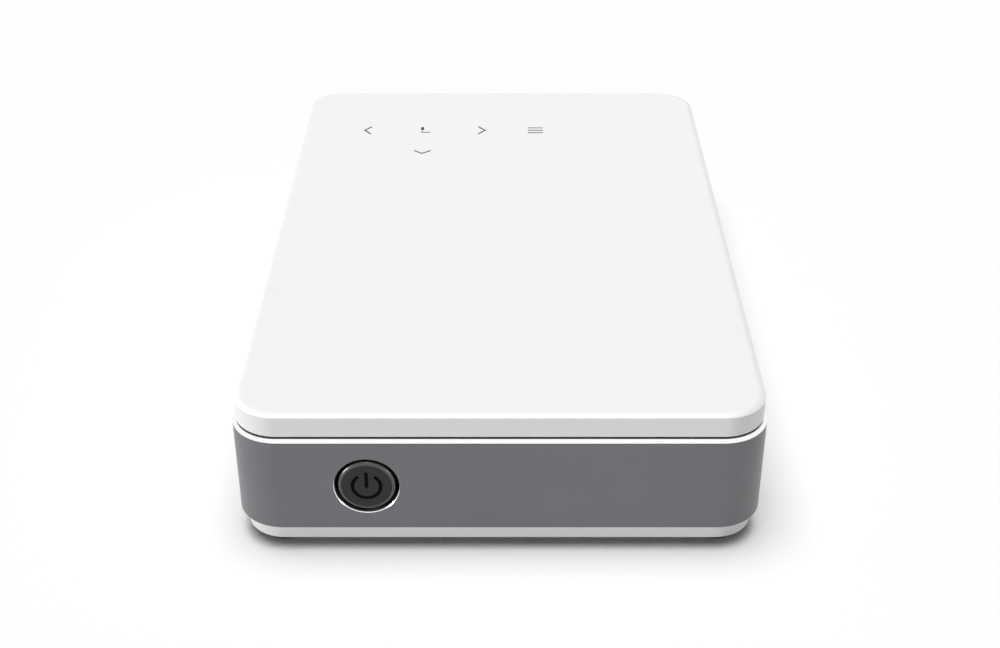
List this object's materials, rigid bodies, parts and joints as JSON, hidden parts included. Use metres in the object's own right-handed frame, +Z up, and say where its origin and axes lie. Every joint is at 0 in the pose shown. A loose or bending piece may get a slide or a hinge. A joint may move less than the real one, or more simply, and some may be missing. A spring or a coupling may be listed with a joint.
{
  "type": "pocket projector",
  "caption": "Palm-size LED projector: flat touch-control top cover on a metal band and base pan, side lens with focus ring, power button, cooling fans, sockets and elevator foot.",
  "frame": {"origin": "middle of the footprint, on the surface that the four feet stand on", "axes": "+X across the body towards the sockets (the lens looks out along -X), +Y along the body away from the power button, +Z up"},
  "size_m": [0.104, 0.156, 0.032],
  "materials": {
    "white_shell": "smooth satin white",
    "anodised_band": "fine blasted dark grey, bright chamfer",
    "foot_rubber": "matt",
    "steel_screw": "zinc plated",
    "brass": "machined",
    "black_button": "satin black",
    "dark_plastic": "moulded",
    "grey_plastic": "moulded",
    "lens_metal": "black anodised",
    "bezel_metal": "polished",
    "lens_glass": "coated",
    "cast_metal": "as cast",
    "copper": "drawn copper",
    "fin_metal": "plain",
    "board_green": "solder mask",
    "ceramic": "ceramic package",
    "emitter": "phosphor",
    "tinned_shell": "tinned",
    "foam": "open cell",
    "ribbon": "flat cable",
    "window_tint": "dark red tint"
  },
  "bodies": {
    "housing": {"top_cover": "white_shell", "band_frame": "anodised_band", "base_pan": "white_shell", "rubber_feet": "foot_rubber", "housing_screws": "steel_screw", "small_screws": "steel_screw", "tripod_insert": "brass", "tact_switch": "dark_plastic", "button_guide": "dark_plastic", "button_board": "board_green", "lens_bezel": "bezel_metal", "engine_housing": "cast_metal", "engine_lid": "cast_metal", "prism": "lens_glass", "mirror_chip": "ceramic", "mirror_board": "board_green", "lamp_blocks": "copper", "lamps": "emitter", "collimators": "lens_glass", "dichroic_plate": "lens_glass", "fan_frame_a": "dark_plastic", "fan_frame_b": "dark_plastic", "heat_sink": "fin_metal", "heat_pipes": "copper", "intake_filter": "foam", "main_board": "board_green", "dc_inlet": "dark_plastic", "video_socket": "tinned_shell", "data_socket": "tinned_shell", "audio_jack": "dark_plastic", "board_chips": "dark_plastic", "shield_can": "tinned_shell", "capacitors": "fin_metal", "touch_board": "board_green", "touch_ribbon": "ribbon", "mirror_ribbon": "ribbon", "speaker": "dark_plastic", "receiver_window": "window_tint", "receiver": "dark_plastic", "lock_plate": "steel_screw", "tilt_guide": "grey_plastic"},
    "button": {"power_button": "black_button", "switch_plunger": "dark_plastic"},
    "focus": {"focus_ring": "lens_metal"},
    "barrel": {"lens_barrel": "lens_metal", "front_lens": "lens_glass", "rear_lens": "lens_glass"},
    "rotor_a": {"fan_rotor_a": "dark_plastic"},
    "rotor_b": {"fan_rotor_b": "dark_plastic"},
    "elevator_wheel": {"tilt_wheel": "grey_plastic", "tilt_clip": "steel_screw"},
    "elevator_stem": {"tilt_stem": "brass", "tilt_pad": "foot_rubber"}
  },
  "joints": [
    {"name": "button_press", "type": "slide", "parent": "housing", "child": "button", "axis": [0, 1, 0], "range_m": [0, 0.0005], "stiffness_N_per_m": 1500, "springref_m": -0.0003},
    {"name": "focus_turn", "type": "hinge", "parent": "housing", "child": "focus", "pos_m": [-0.049, 0.05, 0.01598], "axis": [-1, 0, 0], "range_deg": [0, 150]},
    {"name": "barrel_slide", "type": "slide", "parent": "housing", "child": "barrel", "axis": [-1, 0, 0], "range_m": [0, 0.0015]},
    {"name": "fan_spin_a", "type": "hinge", "parent": "housing", "child": "rotor_a", "pos_m": [-0.0432, -0.0076, 0.0162], "axis": [-1, 0, 0], "continuous": true},
    {"name": "fan_spin_b", "type": "hinge", "parent": "housing", "child": "rotor_b", "pos_m": [-0.0432, -0.0346, 0.0162], "axis": [-1, 0, 0], "continuous": true},
    {"name": "elevator_turn", "type": "hinge", "parent": "housing", "child": "elevator_wheel", "pos_m": [-0.038, 0.0159, 0.003], "axis": [0, 0, -1], "range_deg": [0, 1440]},
    {"name": "elevator_slide", "type": "slide", "parent": "housing", "child": "elevator_stem", "axis": [0, 0, -1], "range_m": [0, 0.006]}
  ],
  "couplings": [
    {"joint": "focus_turn", "follows": "barrel_slide", "rad_per_m": 1745.3},
    {"joint": "elevator_turn", "follows": "elevator_slide", "rad_per_m": 4188.8}
  ]
}
